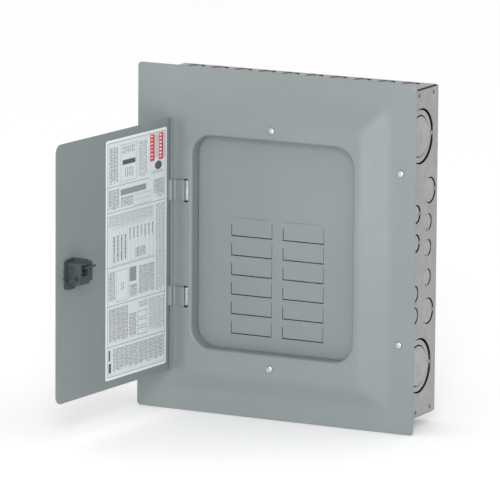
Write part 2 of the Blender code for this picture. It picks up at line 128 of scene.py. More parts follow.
def join(parts):
    whole = bmesh.new()
    for bm in parts:
        mesh = bpy.data.meshes.new("join_tmp")
        bm.to_mesh(mesh)
        bm.free()
        whole.from_mesh(mesh)
        bpy.data.meshes.remove(mesh)
    return whole


def cuboid(x0, x1, y0, y1, z0, z1):
    bm = bmesh.new()
    bmesh.ops.create_cube(bm, size=1)
    bm.transform(Matrix.Translation(((x0 + x1) / 2, (y0 + y1) / 2, (z0 + z1) / 2))
                 @ Matrix.Diagonal((x1 - x0, y1 - y0, z1 - z0, 1)))
    return bm


def prism(points, lo, hi, axis="Z"):
    """Extrude an outline: (x, y) along Z, (x, z) along Y, or (y, z) along X."""
    bm = bmesh.new()

    def at(p, h):
        return {"Z": (p[0], p[1], h), "Y": (p[0], h, p[1]), "X": (h, p[0], p[1])}[axis]

    low = [bm.verts.new(at(p, lo)) for p in points]
    high = [bm.verts.new(at(p, hi)) for p in points]
    bm.faces.new(low)
    bm.faces.new(high)
    for n in range(len(points)):
        m = (n + 1) % len(points)
        bm.faces.new((low[n], low[m], high[m], high[n]))
    return bm


def ribbon(line, t):
    left, right = [], []
    for n, p in enumerate(line):
        p = Vector(p)
        before = (p - Vector(line[n - 1])).normalized() if n else None
        after = (Vector(line[n + 1]) - p).normalized() if n < len(line) - 1 else None
        before = before or after
        after = after or before
        na, nb = Vector((-before.y, before.x)), Vector((-after.y, after.x))
        mid = (na + nb).normalized()
        off = mid * (t / 2 / max(0.3, mid.dot(na)))
        left.append(tuple(p + off))
        right.append(tuple(p - off))
    return left + right[::-1]


def fillet_line(points, r, n=6):
    """Replace the inner corners of an open line with arcs of radius r."""
    out = [tuple(points[0])]
    for a, b, c in zip(points, points[1:], points[2:]):
        a, b, c = Vector(a), Vector(b), Vector(c)
        u, v = (a - b).normalized(), (c - b).normalized()
        half = u.angle(v) / 2
        cut = r / math.tan(half)
        p0, p2 = b + u * cut, b + v * cut
        for k in range(n + 1):
            t = k / n
            out.append(tuple(p0 * (1 - t) ** 2 + b * (2 * t * (1 - t)) + p2 * t * t))
    out.append(tuple(points[-1]))
    return out


def rounded(cx, cz, a, b, r, n=12):
    out = []
    for sx, sz, start in ((1, 1, 0), (-1, 1, 90), (-1, -1, 180), (1, -1, 270)):
        for k in range(n + 1):
            t = math.radians(start + 90 * k / n)
            out.append((cx + sx * (a - r) + r * math.cos(t), cz + sz * (b - r) + r * math.sin(t)))
    return out


def ring_solid(loops):
    bm = bmesh.new()
    rings = [[bm.verts.new(p) for p in loop] for loop in loops]
    for a, ring in enumerate(rings):
        other = rings[(a + 1) % len(rings)]
        for n in range(len(ring)):
            m = (n + 1) % len(ring)
            bm.faces.new((ring[n], ring[m], other[m], other[n]))
    return bm


def turned(profile, place, axis="Y", seg=32, closed=False):
    """Solid of revolution; profile is (radius, height along axis from `place`)."""
    bm = bmesh.new()
    rings = []
    for r, h in profile:
        if r == 0:
            rings.append([bm.verts.new((0, 0, h))])
        else:
            rings.append([bm.verts.new((r * math.cos(2 * math.pi * k / seg),
                                        r * math.sin(2 * math.pi * k / seg), h)) for k in range(seg)])
    pairs = list(zip(rings, rings[1:])) + ([(rings[-1], rings[0])] if closed else [])
    for a, b in pairs:
        for k in range(seg):
            m = (k + 1) % seg
            if len(a) == 1:
                bm.faces.new((a[0], b[k], b[m]))
            elif len(b) == 1:
                bm.faces.new((a[k], a[m], b[0]))
            else:
                bm.faces.new((a[k], a[m], b[m], b[k]))
    bm.transform(Matrix.Translation(place) @ AXIS_TURN[axis])
    return bm


def rod(place, r, length, axis, seg=40):
    return turned([(0, -length / 2), (r, -length / 2), (r, length / 2), (0, length / 2)], place, axis, seg)


# ================================================================ materials
class Net:
    """Short way to wire one material's nodes."""

    def __init__(self, name):
        self.mat = bpy.data.materials.new(name)
        self.mat.use_nodes = True
        self.tree = self.mat.node_tree
        self.bsdf = self.tree.nodes["Principled BSDF"]
        self.coord = self.tree.nodes.new("ShaderNodeTexCoord").outputs["Object"]

    def node(self, kind, inputs=None, **props):
        n = self.tree.nodes.new(kind)
        for k, v in props.items():
            setattr(n, k, v)
        for k, v in (inputs or {}).items():
            if isinstance(v, bpy.types.NodeSocket):
                self.tree.links.new(v, n.inputs[k])
            else:
                n.inputs[k].default_value = v
        return n

    def set(self, **values):
        for k, v in values.items():
            sock = self.bsdf.inputs[k.replace("_", " ")]
            if isinstance(v, bpy.types.NodeSocket):
                self.tree.links.new(v, sock)
            else:
                sock.default_value = v

    def scaled(self, sx, sy, sz):
        return self.node("ShaderNodeMapping", {"Vector": self.coord, "Scale": (sx, sy, sz)}).outputs["Vector"]

    def noise(self, scale, detail=3, rough=0.5, vector=None):
        return self.node("ShaderNodeTexNoise", {"Vector": vector or self.coord, "Scale": scale,
                                                "Detail": detail, "Roughness": rough}).outputs["Fac"]

    def ramp(self, fac, *stops):
        n = self.node("ShaderNodeValToRGB", {"Fac": fac})
        ramp = n.color_ramp
        while len(ramp.elements) < len(stops):
            ramp.elements.new(0.5)
        for e, (pos, col) in zip(ramp.elements, stops):
            e.position = pos
            e.color = (*col, 1) if isinstance(col, tuple) else (col, col, col, 1)
        return n.outputs["Color"]

    def mix(self, fac, a, b, blend="MIX"):
        n = self.node("ShaderNodeMix", {0: fac}, data_type="RGBA", blend_type=blend)
        for key, v in (("A", a), ("B", b)):
            sock = [s for s in n.inputs if s.name == key and s.type == "RGBA"][0]
            if isinstance(v, bpy.types.NodeSocket):
                self.tree.links.new(v, sock)
            else:
                sock.default_value = (*v, 1)
        return [s for s in n.outputs if s.type == "RGBA"][0]

    def bump(self, height, strength, distance, under=None):
        inputs = {"Height": height, "Strength": strength, "Distance": distance}
        if under is not None:
            inputs["Normal"] = under
        return self.node("ShaderNodeBump", inputs).outputs["Normal"]


def shade(color, k):
    return tuple(c * k for c in color)


def enamel():
    n = Net("enamel_grey")
    base = (0.212, 0.240, 0.243)
    cloud = n.noise(9, 2)
    fleck = n.noise(900, 2, 0.6)
    col = n.mix(n.ramp(cloud, (0.35, 0.0), (0.7, 1.0)), shade(base, 0.975), shade(base, 1.025))
    col = n.mix(n.ramp(fleck, (0.62, 0.0), (0.72, 0.35)), col, shade(base, 1.10))
    peel = n.bump(n.noise(420, 2), 0.10, 0.0002)
    n.set(Base_Color=col, Roughness=n.ramp(n.noise(60, 3), (0.3, 0.40), (0.7, 0.50)), Normal=peel)
    n.set(IOR=1.48)
    n.set(Coat_Weight=0.06, Coat_Roughness=0.25)
    return n.mat


def galvanised(name="galvanised_sheet", tint=(0.35, 0.35, 0.345), face=None):
    n = Net(name)
    warp = n.node("ShaderNodeVectorMath", {0: n.coord}, operation="ADD")
    wob = n.node("ShaderNodeTexNoise", {"Vector": n.coord, "Scale": 60.0, "Detail": 2.0})
    n.tree.links.new(n.node("ShaderNodeVectorMath", {0: wob.outputs["Color"], 1: (0.008,) * 3},
                            operation="MULTIPLY").outputs[0], warp.inputs[1])
    cell = n.node("ShaderNodeTexVoronoi", {"Vector": warp.outputs[0], "Scale": 95.0}, feature="F1")
    value = n.node("ShaderNodeSeparateColor", {"Color": cell.outputs["Color"]}).outputs["Red"]
    col = n.mix(n.ramp(value, (0.0, 0.0), (1.0, 1.0)), shade(tint, 0.88), shade(tint, 1.12))
    streak = n.noise(30, 4, 0.6, n.scaled(1, 1, 0.15))
    col = n.mix(n.ramp(streak, (0.35, 0.0), (0.75, 0.30)), col, shade(tint, 0.80))
    rough = n.ramp(value, (0.0, 0.34), (1.0, 0.50))
    if face:
        # punched and cut edges, those that face neither out of the wall nor straight to the front, are
        # darkened to near black: a little for their bare steel, mostly as painted shade for the dark outlines
        # in the knockout gaps, clinch marks and seams between walls
        normal = n.node("ShaderNodeNewGeometry").outputs["True Normal"]
        axes = n.node("ShaderNodeSeparateXYZ", {"Vector": normal})
        edge_shade_masks = []
        for side, limit in ((face, 0.45), ("Y", 0.97)):
            size = n.node("ShaderNodeMath", {0: axes.outputs[side]}, operation="ABSOLUTE").outputs[0]
            edge_shade_masks.append(n.node("ShaderNodeMath", {0: size, 1: limit}, operation="LESS_THAN").outputs[0])
        edge = n.node("ShaderNodeMath", {0: edge_shade_masks[0], 1: edge_shade_masks[1]}, operation="MULTIPLY").outputs[0]
        # painted shade: the edge faces get 0.22 of the tint
        col = n.mix(edge, col, shade(tint, 0.22))
    n.set(Base_Color=col, Metallic=0.78, Roughness=rough,
          Normal=n.bump(n.noise(500, 3), 0.12, 0.0002))
    return n.mat


def metal(name, base, rough, scratch=0.06, metallic=1.0, stretch=(1, 1, 1)):
    n = Net(name)
    grain = n.noise(700, 4, 0.65, n.scaled(*stretch))
    col = n.mix(n.ramp(n.noise(140, 3), (0.3, 0.0), (0.7, 1.0)), shade(base, 0.90), shade(base, 1.06))
    n.set(Base_Color=col, Metallic=metallic, Normal=n.bump(grain, scratch, 0.0001),
          Roughness=n.ramp(grain, (0.3, max(0.05, rough - 0.07)), (0.7, rough + 0.09)))
    return n.mat


def plastic(name, base, rough=0.46, texture=0.25):
    n = Net(name)
    grit = n.noise(1500, 2, 0.6)
    col = n.mix(n.ramp(n.noise(120, 3), (0.35, 0.0), (0.7, 1.0)), shade(base, 0.88), shade(base, 1.14))
    n.set(Base_Color=col, Roughness=n.ramp(n.noise(240, 2), (0.3, rough - 0.06), (0.7, rough + 0.10)),
          Normal=n.bump(grit, texture, 0.00012))
    n.set(IOR=1.5)
    return n.mat


def film():
    n = Net("label_film")
    base = (0.80, 0.835, 0.84)
    col = n.mix(n.ramp(n.noise(25, 3), (0.3, 0.0), (0.7, 1.0)), shade(base, 0.975), shade(base, 1.02))
    n.set(Base_Color=col, Roughness=n.ramp(n.noise(90, 2), (0.3, 0.36), (0.7, 0.46)),
          Normal=n.bump(n.noise(35, 2), 0.10, 0.0004))
    n.set(Coat_Weight=0.25, Coat_Roughness=0.2)
    return n.mat


def ink(name, base):
    n = Net(name)
    col = n.mix(n.ramp(n.noise(2500, 2), (0.35, 0.0), (0.7, 1.0)), shade(base, 0.85), shade(base, 1.25))
    n.set(Base_Color=col, Roughness=n.ramp(n.noise(300, 2), (0.3, 0.42), (0.7, 0.55)))
    return n.mat


ENAMEL = enamel()
GALV = galvanised()
GALV_SIDE_EDGE_SHADE = galvanised("galvanised_side_edge_shade", face="X")
GALV_END_EDGE_SHADE = galvanised("galvanised_end_edge_shade", face="Z")
ZINC = metal("bright_zinc", (0.62, 0.64, 0.64), 0.26, 0.06)
SLUG_TINT = (0.38, 0.38, 0.375)
SLUGS_EDGE_SHADE = {"X": galvanised("slug_side_edge_shade", SLUG_TINT, "X"), "Z": galvanised("slug_end_edge_shade", SLUG_TINT, "Z")}
TINNED = metal("tinned_aluminium", (0.72, 0.73, 0.74), 0.33, 0.08, 1.0, (1, 1, 0.1))
BLACK = plastic("black_moulding", (0.022, 0.023, 0.024))
LATCH = plastic("latch_moulding", (0.042, 0.058, 0.062), 0.40, 0.2)
GREEN = metal("green_zinc", (0.06, 0.30, 0.12), 0.32, 0.05, 0.6)
FILM = film()
TINT = ink("ink_ground", (0.66, 0.70, 0.71))
INK = ink("ink_grey", (0.085, 0.095, 0.10))
INK_SOFT = ink("ink_pale", (0.26, 0.28, 0.29))
PIN = metal("dull_zinc", (0.20, 0.22, 0.22), 0.5, 0.05)
INK_RED = ink("ink_red", (0.62, 0.05, 0.07))
SLOTS = {"enamel": ENAMEL, "galvanised": GALV, "zinc": ZINC, "aluminium": TINNED, "black_plastic": BLACK,
         "latch_plastic": LATCH, "green_zinc": GREEN, "label": FILM}


def finish_piece(obj, mat, body, slot, *nodes):
    obj.data.materials.clear()
    obj.data.materials.append(mat)
    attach(obj, body)
    if nodes:
        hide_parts(*nodes)
    return obj


node_slot = {s["node"]: s["material_slot"] for s in frame["record"]["subparts"]}
for node, obj in frame["nodes"].items():
    for ms in obj.material_slots:
        ms.material = SLOTS[node_slot[node]]


# ================================================================ trim
def lerp(p, q, t):
    return tuple(a + (b - a) * t for a, b in zip(p, q))


def bend(p0, p1, p2, n=7):
    """Quadratic blend between three loop settings, for a soft press-brake bend."""
    return [lerp(lerp(p0, p1, k / n), lerp(p1, p2, k / n), k / n) for k in range(n + 1)]


def trim_profile():
    flat = (0, 0, 6.66, 8.01, 0.40, 0)
    foot = (0, 0, 6.30, 7.65, 0.34, 0)
    crest = (0.05, -0.20, 4.95, 6.50, 0.40, -PROUD)
    inner = (0.05, -0.20, 4.76, 6.31, 0.34, -PROUD)
    cx, cz, a, b, r = OPEN
    out = [(0, 0, TW, TH, TR, TRIM_T - 0.012), (0, 0, TW, TH, TR, 0.014),
           (0, 0, TW - 0.014, TH - 0.014, TR, 0.0), (0, 0, TW - 0.25, TH - 0.25, TR + 0.02, 0.0)]
    out += bend(flat, foot, lerp(foot, crest, 0.24))
    out += [lerp(foot, crest, t) for t in (0.36, 0.5, 0.64)]
    out += bend(lerp(foot, crest, 0.76), crest, inner)
    f = 0.13
    for k in range(8):
        t = math.radians(90 * k / 7)
        g = f * (1 - math.sin(t))
        out.append((cx, cz, a + g, b + g, r + g, -PROUD + f * (1 - math.cos(t))))
    out += [(cx, cz, a, b, r, 0.0), (cx, cz, a, b, r, WALL_END - 0.045)]
    return out


def offset_back(front, t):
    """The sheet's rear loops: the front ones moved one thickness along the section's normal."""
    back = []
    for n, p in enumerate(front):
        q0, q1 = front[max(0, n - 1)], front[min(len(front) - 1, n + 1)]
        run = (q0[2] - q1[2]) + (q0[3] - q1[3])
        rise = q1[5] - q0[5]
        length = math.hypot(run / 2, rise) or 1
        nx, ny = rise / length, (run / 2) / length
        back.append((p[0], p[1], p[2] + nx * t, p[3] + nx * t, p[4] + nx * t, p[5] + ny * t))
    return back


front = trim_profile()
rear = offset_back(front[3:], TRIM_T)
rear = [(0, 0, TW - 0.012, TH - 0.012, TR, TRIM_T)] + rear
trim = to_mesh("trim_cover_sheet", ring_solid(
    [[(x, FY + s[5], z) for x, z in rounded(*s[:5])] for s in front + rear[::-1]]), sharp=40)
cuts = [rod((sx * SCREW_X, FY, sz * SCREW_Z), 0.105, 0.5, "Y") for sx, sz in CORNERS]
cuts += [rod((0, FY - PROUD, z), 0.105, 0.5, "Y") for z in (TOP_SCREW_Z, BOTTOM_SCREW_Z)]
for z0, z1 in HINGES:
    cuts.append(prism(rounded(-4.785, (z0 + z1) / 2, 0.135, (z1 - z0) / 2 + 0.06, 0.10, 6),
                      FY - 0.8, FY - 0.05, "Y"))
carve(trim, cuts, sharp=40)
finish_piece(trim, ENAMEL, "enclosure", "enamel", "trim_cover")

# ================================================================ deadfront
TWISTOUT_COLUMNS = ((-2.60, -0.30), (0.30, 2.60))
TWISTOUTS = [(xa, xb, ROW0 + row) for row in range(ROWS) for xa, xb in TWISTOUT_COLUMNS]
TOP_ROW = ROW0 + (ROWS - 1)
SLIT, FINE_SLIT = 0.05, 0.022
dead_outline = rounded(0.05, -0.08, 4.85, 6.38, 0.5, 8)
dead = to_mesh("deadfront_plate", prism(dead_outline, FY + DEAD0, FY + DEAD1, "Y"))
cuts = [rod((0, FY + DEAD0, z), 0.105, 0.4, "Y") for z in (TOP_SCREW_Z, BOTTOM_SCREW_Z)]
for xa, xb, zb in TWISTOUTS:
    inner = xa + SLIT * 0.8
    outline = [(xa, zb), (xb, zb), (xb, zb + 0.80), (xb - FINE_SLIT, zb + 0.80), (xb - FINE_SLIT, zb + SLIT),
               (inner, zb + SLIT), (inner, zb + 0.62), (xa, zb + 0.62)]
    cuts.append(prism(outline, FY + DEAD0 - 0.1, FY + DEAD1 + 0.1, "Y"))
    if zb == TOP_ROW:
        cuts.append(cuboid(xa + 0.06, xb - 0.06, FY + DEAD0 - 0.1, FY + DEAD0 + 0.022,
                           zb + 0.955, zb + 0.985))
# a shallow groove where the deadfront meets the recess wall
cx, cz, a, b, r = OPEN
groove = ((0.06, DEAD0 - 0.1), (0.06, DEAD0 + 0.04), (0.01, DEAD0 + 0.04), (0.01, DEAD0 - 0.1))
cuts.append(ring_solid([[(x, FY + y, z) for x, z in rounded(cx, cz, a + g, b + g, r + g, 10)]
                        for g, y in groove]))
carve(dead, cuts)
finish_piece(dead, ENAMEL, "enclosure", "enamel", "deadfront")


def twistout_face(xa, xb, zb):
    """The plate of one twistout, which leans out a little at its foot."""
    y = FY + DEAD0
    bm = bmesh.new()
    quad = [(xa + 0.05, y - 0.006, zb + 0.065), (xb - 0.04, y - 0.006, zb + 0.065),
            (xb - 0.04, y - 0.002, zb + 0.93), (xa + 0.05, y - 0.002, zb + 0.93)]
    near = [bm.verts.new(p) for p in quad]
    far = [bm.verts.new((p[0], y + 0.02, p[2])) for p in quad]
    bm.faces.new(near)
    bm.faces.new(far)
    for k in range(4):
        m = (k + 1) % 4
        bm.faces.new((near[k], near[m], far[m], far[k]))
    return bm


plates = [twistout_face(*spot) for spot in TWISTOUTS]
tw = to_mesh("twistout_faces", join(plates), sharp=15)
finish_piece(tw, ENAMEL, "enclosure", "enamel")


# ================================================================ box with knockouts
def slug(place, axis, out, r, sink, gap, shift, inner=None):
    """One knockout: a disc (or ring) pressed `sink` into the wall and `shift` forward, with softened rims."""
    e = 0.012
    x0, x1 = -SHEET - sink, -sink
    r -= gap
    if inner is None:
        prof = [(0, x0), (r - e, x0), (r, x0 + e), (r, x1 - e), (r - e, x1), (0.10, x1), (0.07, x1 - 0.012),
                (0, x1 - 0.016)]
    else:
        prof = [(inner + e, x0), (r - e, x0), (r, x0 + e), (r, x1 - e), (r - e, x1), (inner + e, x1),
                (inner, x1 - e), (inner, x0 + e)]
    place = (place[0], place[1] - shift, place[2])
    return turned([(a, h * out) for a, h in prof], place, axis, 56, inner is not None)


def tab(place, axis, out, r, angle, sink, gap):
    """The small bridge that holds a slug in its hole."""
    lo, hi = -SHEET - sink * 0.6, -sink * 0.45
    width = 0.10 + gap
    bm = cuboid(r - 2.2 * gap - 0.02, r + 0.03, -width / 2, width / 2, min(lo * out, hi * out),
                max(lo * out, hi * out))
    bm.transform(Matrix.Rotation(math.radians(angle), 4, "Z"))
    bm.transform(Matrix.Translation(place) @ AXIS_TURN[axis])
    return bm


def knockout_set(wall, places, axis, out, name):
    """Cut the holes in a wall and fill them with their slugs."""
    holes, fills = [], []
    for place, r, inner, sink, tabs, gap, shift in places:
        holes.append(rod(place, r, 0.5, axis, 56))
        if inner:
            moved = (place[0], place[1] - shift, place[2])
            fills.append(slug(place, axis, out, r, sink, gap, shift, inner))
            fills.append(slug(moved, axis, out, inner, sink * 0.25, gap * 0.7, shift * 0.7))
            fills += [tab(moved, axis, out, inner, a, sink * 0.6, gap * 0.7) for a in tabs]
        else:
            fills.append(slug(place, axis, out, r, sink, gap, shift))
        fills += [tab(place, axis, out, r, a, sink, gap) for a in tabs]
    carve(wall, holes)
    obj = to_mesh(name, join(fills), sharp=30)
    finish_piece(obj, SLUGS_EDGE_SHADE[axis], "enclosure", "galvanised")


y0 = FY + TRIM_T + 0.02
wall_line = fillet_line([(-HX + 0.60, y0 + SHEET / 2), (-HX + SHEET / 2, y0 + SHEET / 2),
                         (-HX + SHEET / 2, -SHEET / 2), (HX - SHEET / 2, -SHEET / 2),
                         (HX - SHEET / 2, y0 + SHEET / 2), (HX - 0.60, y0 + SHEET / 2)], 0.06)
box = to_mesh("box_shell", prism(ribbon(wall_line, SHEET), -HZ + 0.07, HZ - 0.07))
cuts = [cuboid(sx * (HX - SHEET) - (0.6 if sx > 0 else 0), sx * (HX - SHEET) + (0.6 if sx < 0 else 0),
               y0 - 0.1, y0 + SHEET + 0.03,
               sz * 7.55 + (0 if sz > 0 else -1), sz * 7.55 + (1 if sz > 0 else 0))
        for sx, sz in CORNERS]
cuts += [rod((sx * SCREW_X, y0, sz * SCREW_Z), 0.10, 0.4, "Y") for sx, sz in CORNERS]
cuts += [rod((sx * 3.85, 0, z), 0.10, 0.4, "Y") for sx in SIDES for z in (6.05, -6.55)]
cuts += [rod((5.2, 0, z), 0.10, 0.4, "Y") for z in (-2.80, -6.10)]
carve(box, cuts)
# keyholes; a slot overlaps its hole, so the two are cut one after the other
for sx, sz in CORNERS:
    x, z = sx * 5.2, sz * 7.1
    carve(box, [rod((x, 0, z), 0.16, 0.4, "Y")])
    carve(box, [cuboid(x - 0.055, x + 0.055, -0.2, 0.2, z + 0.12, z + 0.34)])
# shallow round clinch marks where the end walls' tabs are fixed
marks = [turned([(0.035, -0.036), (0.035, 0.05), (0.105, 0.05), (0.105, -0.036)], (sx * HX, FY + d, sz * 8.0),
                "X", 24, True) for sx, sz in CORNERS for d in (1.60, 3.25)]
carve(box, marks, sharp=30)

# where a slug's two tabs sit round its rim, in degrees
FRONT_BACK, ACROSS = (90, 270), (0, 180)
# each: (distance behind FY, z), radius, inner radius, sink, tabs, gap at the rim, shift to the front
SIDE_KO = [
    ((1.85, 5.95), 1.40, 1.06, 0.050, FRONT_BACK, 0.075, 0.055),
    ((1.90, -5.67), 1.40, 1.06, 0.050, FRONT_BACK, 0.075, 0.055),
    ((2.95, 3.08), 0.67, None, 0.035, FRONT_BACK, 0.052, 0.022),
    ((2.86, -3.03), 0.67, None, 0.035, FRONT_BACK, 0.052, 0.022),
    ((1.43, 2.07), 0.48, None, 0.035, FRONT_BACK, 0.052, 0.026),
    ((1.40, 0.60), 0.48, None, 0.035, FRONT_BACK, 0.052, 0.026),
    ((1.32, -1.95), 0.44, None, 0.026, ACROSS, 0.040, 0.020),
    ((1.32, -3.05), 0.44, None, 0.026, ACROSS, 0.040, 0.020),
    ((2.78, 1.50), 0.44, None, 0.024, ACROSS, 0.040, 0.022),
    ((2.75, 0.20), 0.44, None, 0.024, ACROSS, 0.040, 0.022),
    ((2.75, -1.30), 0.44, None, 0.024, ACROSS, 0.040, 0.022),
]
for s, tag in ((-1, "left"), (1, "right")):
    places = [((s * HX, FY + d, z), *rest) for (d, z), *rest in SIDE_KO]
    knockout_set(box, places, "X", s, "knockouts_" + tag)
finish_piece(box, GALV_SIDE_EDGE_SHADE, "enclosure", "galvanised", "box_back_and_sides")

for name, s in (("top", 1), ("bottom", -1)):
    ex = HX - SHEET - 0.040
    line = fillet_line([(y0 + SHEET / 2, 7.62), (y0 + SHEET / 2, HZ - SHEET / 2),
                        (-1.5 * SHEET - 0.02, HZ - SHEET / 2), (-1.5 * SHEET - 0.02, 7.62)], 0.07)
    wall = to_mesh(name + "_wall", prism([(y, s * z) for y, z in ribbon(line, SHEET)], -ex, ex, "X"))
    lips = [cuboid(sx * 6.4 - (0 if sx > 0 else 1), sx * 6.4 + (1 if sx > 0 else 0), y, y + w,
                   min(s * 7.5, s * (HZ - SHEET - 0.02)), max(s * 7.5, s * (HZ - SHEET - 0.02)))
            for sx in SIDES for y, w in ((y0 - 0.05, 0.16), (-2 * SHEET - 0.06, 0.12))]
    carve(wall, lips)
    ears = [cuboid(min(sx * ex, sx * (ex - SHEET)), max(sx * ex, sx * (ex - SHEET)), y0 + SHEET + 0.02,
                    -SHEET - 0.02, min(s * 7.62, s * (HZ - 0.02)), max(s * 7.62, s * (HZ - 0.02)))
             for sx in SIDES]
    carve(wall, ears, op="UNION")
    places = []
    for k in range(10):
        x = -6.10 + 12.05 * k / 9
        places.append(((x, FY + 3.08, s * HZ), 0.47, None, 0.035, FRONT_BACK, 0.055, 0.024))
    for k in range(9):
        x = -5.43 + 12.05 * k / 9
        places.append(((x, FY + 2.10, s * HZ), 0.36 if k % 3 else 0.46, None, 0.022, ACROSS, 0.030, 0.012))
    places.append(((0.60, FY + 1.02, s * HZ), 0.52, None, 0.03, FRONT_BACK, 0.034, 0.012))
    places += [((sx * 3.6 + 0.6, FY + 1.02, s * HZ), 0.44, None, 0.025, FRONT_BACK, 0.030, 0.010)
               for sx in SIDES]
    knockout_set(wall, places, "Z", s, "knockouts_" + name)
    finish_piece(wall, GALV_END_EDGE_SHADE, "enclosure", "galvanised", name + "_end_wall")


# ================================================================ screws
def cover_screw(node, x, z, seat, tip):
    y = seat - 0.013
    prof = [(0, -0.085)]
    for k in range(9):
        t = math.radians(90 * k / 8)
        prof.append((0.080 + 0.095 * math.sin(t), -0.020 - 0.065 * math.cos(t)))
    prof += [(0.178, -0.010), (0.174, 0.0), (0.088, 0.0), (0.080, 0.02)]
    length = tip - y
    turns = 14
    step = (length - 0.12) / turns
    for k in range(turns):
        h = 0.06 + (length - 0.12) * k / turns
        prof += [(0.070, h), (0.083, h + step * 0.5)]
    prof += [(0.060, length - 0.03), (0, length)]
    obj = to_mesh(node + "_fine", turned(prof, (x, y, z), "Y", 36), sharp=45)
    turn = Matrix.Translation((x, y - 0.085, z)) @ Matrix.Rotation(math.radians(rng.uniform(0, 90)), 4, "Y")
    for spin, reach in ((0, 0.115), (90, 0.080)):
        bm = cuboid(-reach, reach, -0.03, 0.055, -0.021, 0.021)
        bm.transform(turn @ Matrix.Rotation(math.radians(spin), 4, "Y"))
        carve(obj, [bm], sharp=45)
    finish_piece(obj, ZINC, "enclosure", "zinc", node)


for sz, tag in ((1, "upper"), (-1, "lower")):
    for sx, side in ((-1, "left"), (1, "right")):
        cover_screw("cover_screw_%s_%s" % (side, tag), sx * SCREW_X, sz * SCREW_Z, FY, FY + 0.55)
cover_screw("cover_screw_top", 0, TOP_SCREW_Z, FY - PROUD, FY + 1.25)
cover_screw("cover_screw_bottom", 0, BOTTOM_SCREW_Z, FY - PROUD, FY + 1.25)

# ================================================================ hinge
hx, hy = HINGE
for (z0, z1), tag in zip(HINGES, ("upper", "lower")):
    line = fillet_line([(-4.56, FY - 0.225), (-4.88, FY - 0.225), (-4.88, FY - 0.490), (-4.95, FY - 0.484),
                        (-5.42, FY - 0.334), (hx + CURL_R, FY - 0.37)], 0.02, 4)
    for k in range(25):
        t = math.radians(-10 * k)
        line.append((hx + CURL_R * math.cos(t), hy + CURL_R * math.sin(t)))
    strap = to_mesh("hinge_strap_%s_fine" % tag, prism(ribbon(line, CURL_T), z0 + 0.02, z1 - 0.02), sharp=40)
    finish_piece(strap, ENAMEL, "enclosure", "enamel", "hinge_strap_" + tag)
    clip = to_mesh("hinge_clip_%s_fine" % tag, prism(
        rounded(-4.754, (z0 + z1) / 2, 0.084, (z1 - z0) / 2 - 0.02, 0.075, 8), FY - 0.438, FY - 0.275, "Y"))
    finish_piece(soften(clip, 0.03, 3), ZINC, "enclosure", "zinc", "hinge_clip_" + tag)
    half = (z1 - z0) / 2 + 0.4
    pin = to_mesh("hinge_pin_%s_fine" % tag, turned(
        [(0, -half), (0.035, -half), (0.045, -half + 0.012), (0.045, half - 0.012), (0.035, half), (0, half)],
        (hx, hy, (z0 + z1) / 2), "Z", 24))
    finish_piece(pin, PIN, "enclosure", "zinc", "hinge_pin_" + tag)

# ================================================================ door
mid = FACE - 0.025
line = [(DOOR_RIGHT, mid), (3.0, mid), (0.0, mid), (-3.0, mid), (hx, hy - CURL_R)]
for k in range(1, 25):
    t = math.radians(-90 - 9.5 * k)
    line.append((hx + CURL_R * math.cos(t), hy + CURL_R * math.sin(t)))
door = to_mesh("door_sheet", prism(ribbon(line, CURL_T), DOOR_Z0, DOOR_Z1), True)
cuts = [cuboid(-5.80, -5.36, FY - 0.9, FY - 0.3, z0 - 0.02, z1 + 0.02) for z0, z1 in HINGES]
cuts.append(cuboid(3.05, 3.95, FY - 0.9, FY - 0.3, LATCH_Z - 0.60, LATCH_Z + 0.60))
for z, s in ((DOOR_Z0, -1), (DOOR_Z1, 1)):
    r = 0.45
    corner = [(DOOR_RIGHT + 0.2, z - s * r)]
    for k in range(15):
        t = math.radians(90 * k / 14)
        corner.append((DOOR_RIGHT - r + r * math.cos(t), z - s * r + s * r * math.sin(t)))
    corner += [(DOOR_RIGHT - r, z + s * 0.2), (DOOR_RIGHT + 0.2, z + s * 0.2)]
    cuts.append(prism(corner, FY - 1.0, FY - 0.2, "Y"))
carve(door, cuts, True, 40)
finish_piece(door, ENAMEL, "door", "enamel", "door_panel")

# ---------------------------------------------------------------- label film and its generic print
LX, RX = 0.40, -5.25               # free side, hinge side
TZ, BZ = DOOR_Z1 - 0.40, DOOR_Z0 + 0.42
label = to_mesh("label_film_sheet", prism(rounded((LX + RX) / 2, (TZ + BZ) / 2, (LX - RX) / 2, (TZ - BZ) / 2,
                                                  0.12, 6), FACE + 0.013, FACE + 0.024, "Y"), True)
finish_piece(label, FILM, "door", "label", "door_label")

quads = {"tint": [], "grey": [], "pale": [], "red": [], "white": []}


def patch(kind, u0, v0, u1, v1, lift=0):
    """Printed rectangle; u runs from the free side to the hinge side, v from the top down, both 0 to 1."""
    y = FACE + 0.0268 + 0.0010 * lift
    xs = [LX + (RX - LX) * u for u in (u0, u1)]
    zs = [TZ + (BZ - TZ) * v for v in (v0, v1)]
    quads[kind].append([(xs[0], y, zs[0]), (xs[1], y, zs[0]), (xs[1], y, zs[1]), (xs[0], y, zs[1])])


def frame_lines(u0, v0, u1, v1, w=0.004, kind="grey"):
    wv = w * 0.45
    patch(kind, u0, v0, u1, v0 + wv, 1)
    patch(kind, u0, v1 - wv, u1, v1, 1)
    patch(kind, u0, v0, u0 + w, v1, 1)
    patch(kind, u1 - w, v0, u1, v1, 1)


